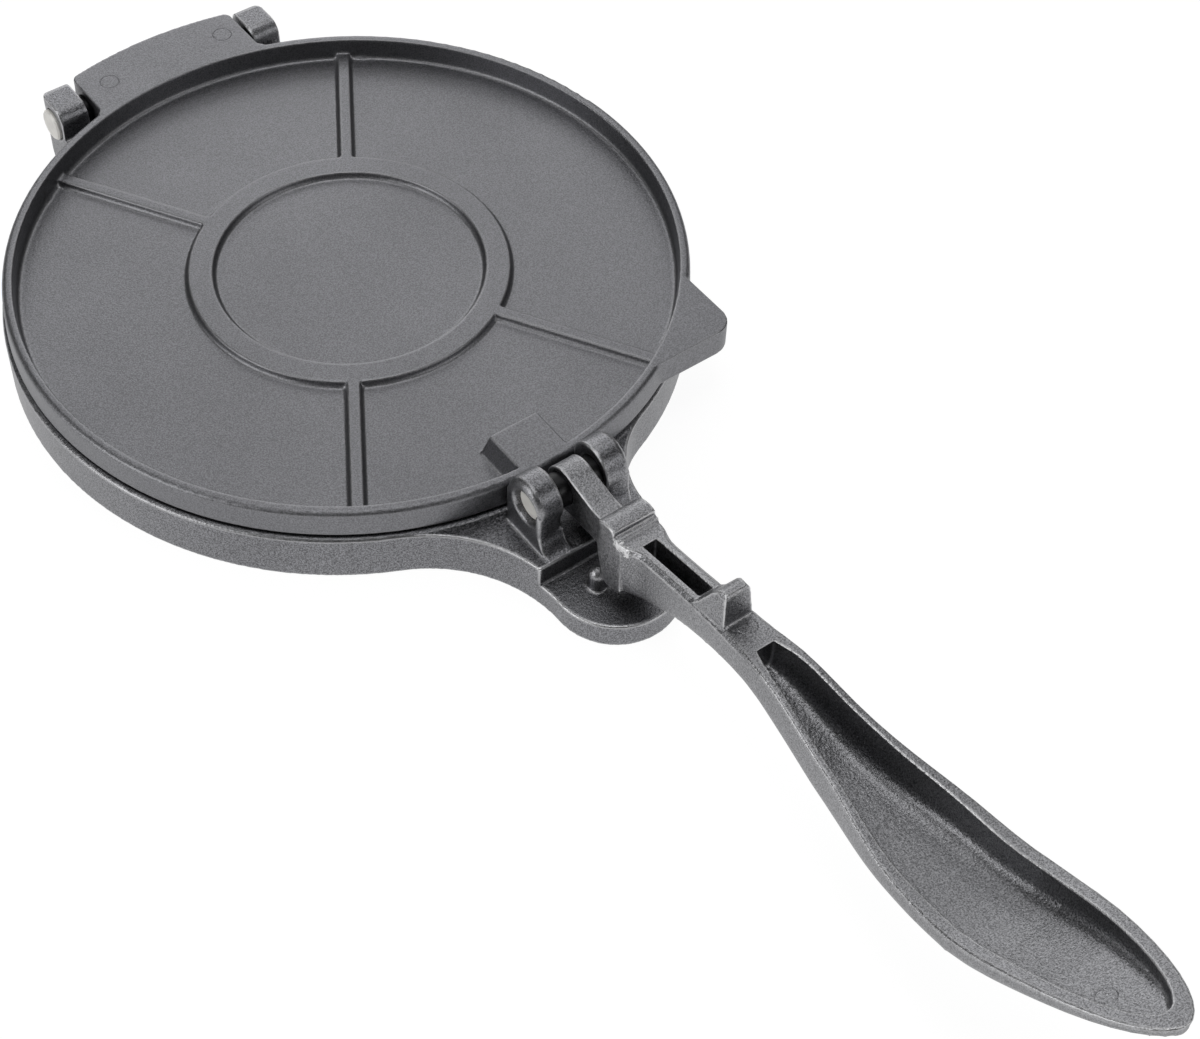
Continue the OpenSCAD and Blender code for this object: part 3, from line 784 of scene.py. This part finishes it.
@dataclass
class Studio:
    """Pale floor, soft lamps and the camera.

    Attributes:
        eye: Place of the camera.
        yaw: Turn of the camera about +Z, in degrees.
        pitch: Angle of its view below the level, in degrees.
        roll: Turn about its own view, in degrees.
        lens: Focal length, in millimetres.
        sensor: Width of the camera's sensor, in millimetres.
        floor_half: Half the side of the floor.
        floor_drop: Gap between the floor and the table plane.
        floor_white: Share of white in the floor where it is seen.
        floor_lift: Extra strength of that white straight to the camera.
        room: Strength of the light from all round.
        target: Point that the lamps face.
        lamps: The lamps.
    """

    eye: Triple = (-0.24585, -0.42331, 0.49274)
    yaw: float = -38.7828
    pitch: float = 50.1836
    roll: float = 2.6127
    lens: float = 71.94
    sensor: float = 36.0
    floor_half: float = 60.0
    floor_drop: float = 0.2 * MM
    floor_white: float = 0.82
    floor_lift: float = 0.14
    room: float = 0.09
    target: Triple = (0.0, -0.05, 0.02)
    lamps: tuple[Lamp, ...] = (
        Lamp("ceiling", (1.0, 1.25, 1.9), 2.6, 0.77),
        Lamp("top", (-0.05, -0.1, 2.3), 1.0, 2.6),
        Lamp("rear", (0.9, 2.1, 0.75), 1.4, 1.3),
        Lamp("left", (-2.0, 0.3, 1.15), 1.5, 2.4),
        Lamp("front_right", (1.0, -2.0, 1.15), 1.1, 1.7),
    )

    def place_camera(self) -> None:
        """Sets the camera in place and aims it."""
        yaw, pitch, roll = (math.radians(v) for v in (self.yaw, self.pitch, self.roll))
        back = Vector((math.sin(yaw) * math.cos(pitch), -math.cos(yaw) * math.cos(pitch), math.sin(pitch)))
        side = Vector((math.cos(yaw), math.sin(yaw), 0.0))
        rise = back.cross(side)
        right = math.cos(roll) * side + math.sin(roll) * rise
        up = -math.sin(roll) * side + math.cos(roll) * rise
        data = bpy.data.cameras.new("view")
        data.lens = self.lens
        data.sensor_width = self.sensor
        data.clip_start = 0.01
        camera = bpy.data.objects.new("view", data)
        turn = Matrix((right, up, back)).transposed().to_4x4()
        camera.matrix_world = Matrix.Translation(self.eye) @ turn
        bpy.context.scene.collection.objects.link(camera)
        bpy.context.scene.camera = camera

    def lay_floor(self) -> None:
        """Lays a wide pale floor that shows white and keeps the shadow."""
        half = self.floor_half
        mesh = bpy.data.meshes.new("floor")
        corners = [(-half, -half, 0.0), (half, -half, 0.0), (half, half, 0.0), (-half, half, 0.0)]
        mesh.from_pydata(corners, [], [(0, 1, 2, 3)])
        floor = bpy.data.objects.new("floor", mesh)
        floor.location.z = -self.floor_drop
        bpy.context.scene.collection.objects.link(floor)
        board = NodeBoard("floor_pale")
        path = board.add("ShaderNodeLightPath")
        seen = board.math("MAXIMUM", path.outputs["Is Camera Ray"], path.outputs["Is Glossy Ray"])
        seen = board.math("MAXIMUM", seen, path.outputs["Is Transmission Ray"])
        diffuse = board.add("ShaderNodeBsdfDiffuse", Color=(0.85, 0.85, 0.85, 1.0))
        glow = board.add("ShaderNodeEmission", Color=(1.0, 1.0, 1.0, 1.0))
        lift = board.math("MULTIPLY", path.outputs["Is Camera Ray"], self.floor_lift)
        board.link(board.math("ADD", 1.0, lift), glow.inputs["Strength"])
        mix = board.add("ShaderNodeMixShader")
        board.link(board.math("MULTIPLY", seen, self.floor_white), mix.inputs[0])
        board.link(diffuse.outputs[0], mix.inputs[1])
        board.link(glow.outputs[0], mix.inputs[2])
        board.link(mix.outputs[0], board.add("ShaderNodeOutputMaterial").inputs["Surface"])
        mesh.materials.append(board.material)

    def light(self) -> None:
        """Hangs the lamps in a dim room."""
        world = bpy.data.worlds.new("room")
        world.use_nodes = True
        tree = world.node_tree
        tree.nodes.clear()
        sky = tree.nodes.new("ShaderNodeBackground")
        sky.inputs["Color"].default_value = (1.0, 1.0, 1.0, 1.0)
        sky.inputs["Strength"].default_value = self.room
        out = tree.nodes.new("ShaderNodeOutputWorld")
        tree.links.new(sky.outputs[0], out.inputs["Surface"])
        bpy.context.scene.world = world
        for lamp in self.lamps:
            lamp.hang(Vector(self.target))

    def build(self) -> None:
        """Sets the whole stage."""
        self.place_camera()
        self.lay_floor()
        self.light()
        bpy.context.scene.view_settings.view_transform = "Standard"


def main() -> None:
    """Builds the castings, the pins and the studio in order."""
    logging.basicConfig(level=logging.INFO, format="%(name)s: %(message)s")
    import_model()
    base_coat = Hammertone(
        "hammertone_base", cell=0.85 * MM, cell_depth=0.06 * MM, grain_depth=0.065 * MM,
        speckle=0.5, wear_and_sheen=0.7, roughness=0.34,
    )
    upper_coat = Hammertone("hammertone_upper", grain_depth=0.06 * MM, speckle=0.25)
    lever_coat = Hammertone(
        "hammertone_lever", shade=(0.262, 0.263, 0.274), cell=0.8 * MM, cell_depth=0.075 * MM,
        grain_depth=0.075 * MM, speckle=0.45, roughness=0.36, wear_and_sheen=0.8, rubs=SHOULDER_RUBS,
    )
    parts = [
        Casting("base_plate", Body.BASE, Slot.CAST, base_coat, passes=10, fills=LUG_FILLS),
        Casting("upper_plate", Body.UPPER, Slot.CAST, upper_coat, passes=12),
        MouldRings("upper_plate", Body.UPPER, Slot.CAST, upper_coat, TAIL_RINGS),
        Casting("lever", Body.HANDLE, Slot.LEVER, lever_coat, voxel=0.25 * MM, passes=6, broad_passes=160),
        MouldRings("lever", Body.HANDLE, Slot.LEVER, lever_coat, LEVER_RINGS, radius=2.5 * MM),
        Pins(),
    ]
    for part in parts:
        for piece in part.build():
            LOG.info("%s: %d faces", piece.name, len(piece.data.polygons))
    Studio().build()


if __name__ == "__main__":
    main()
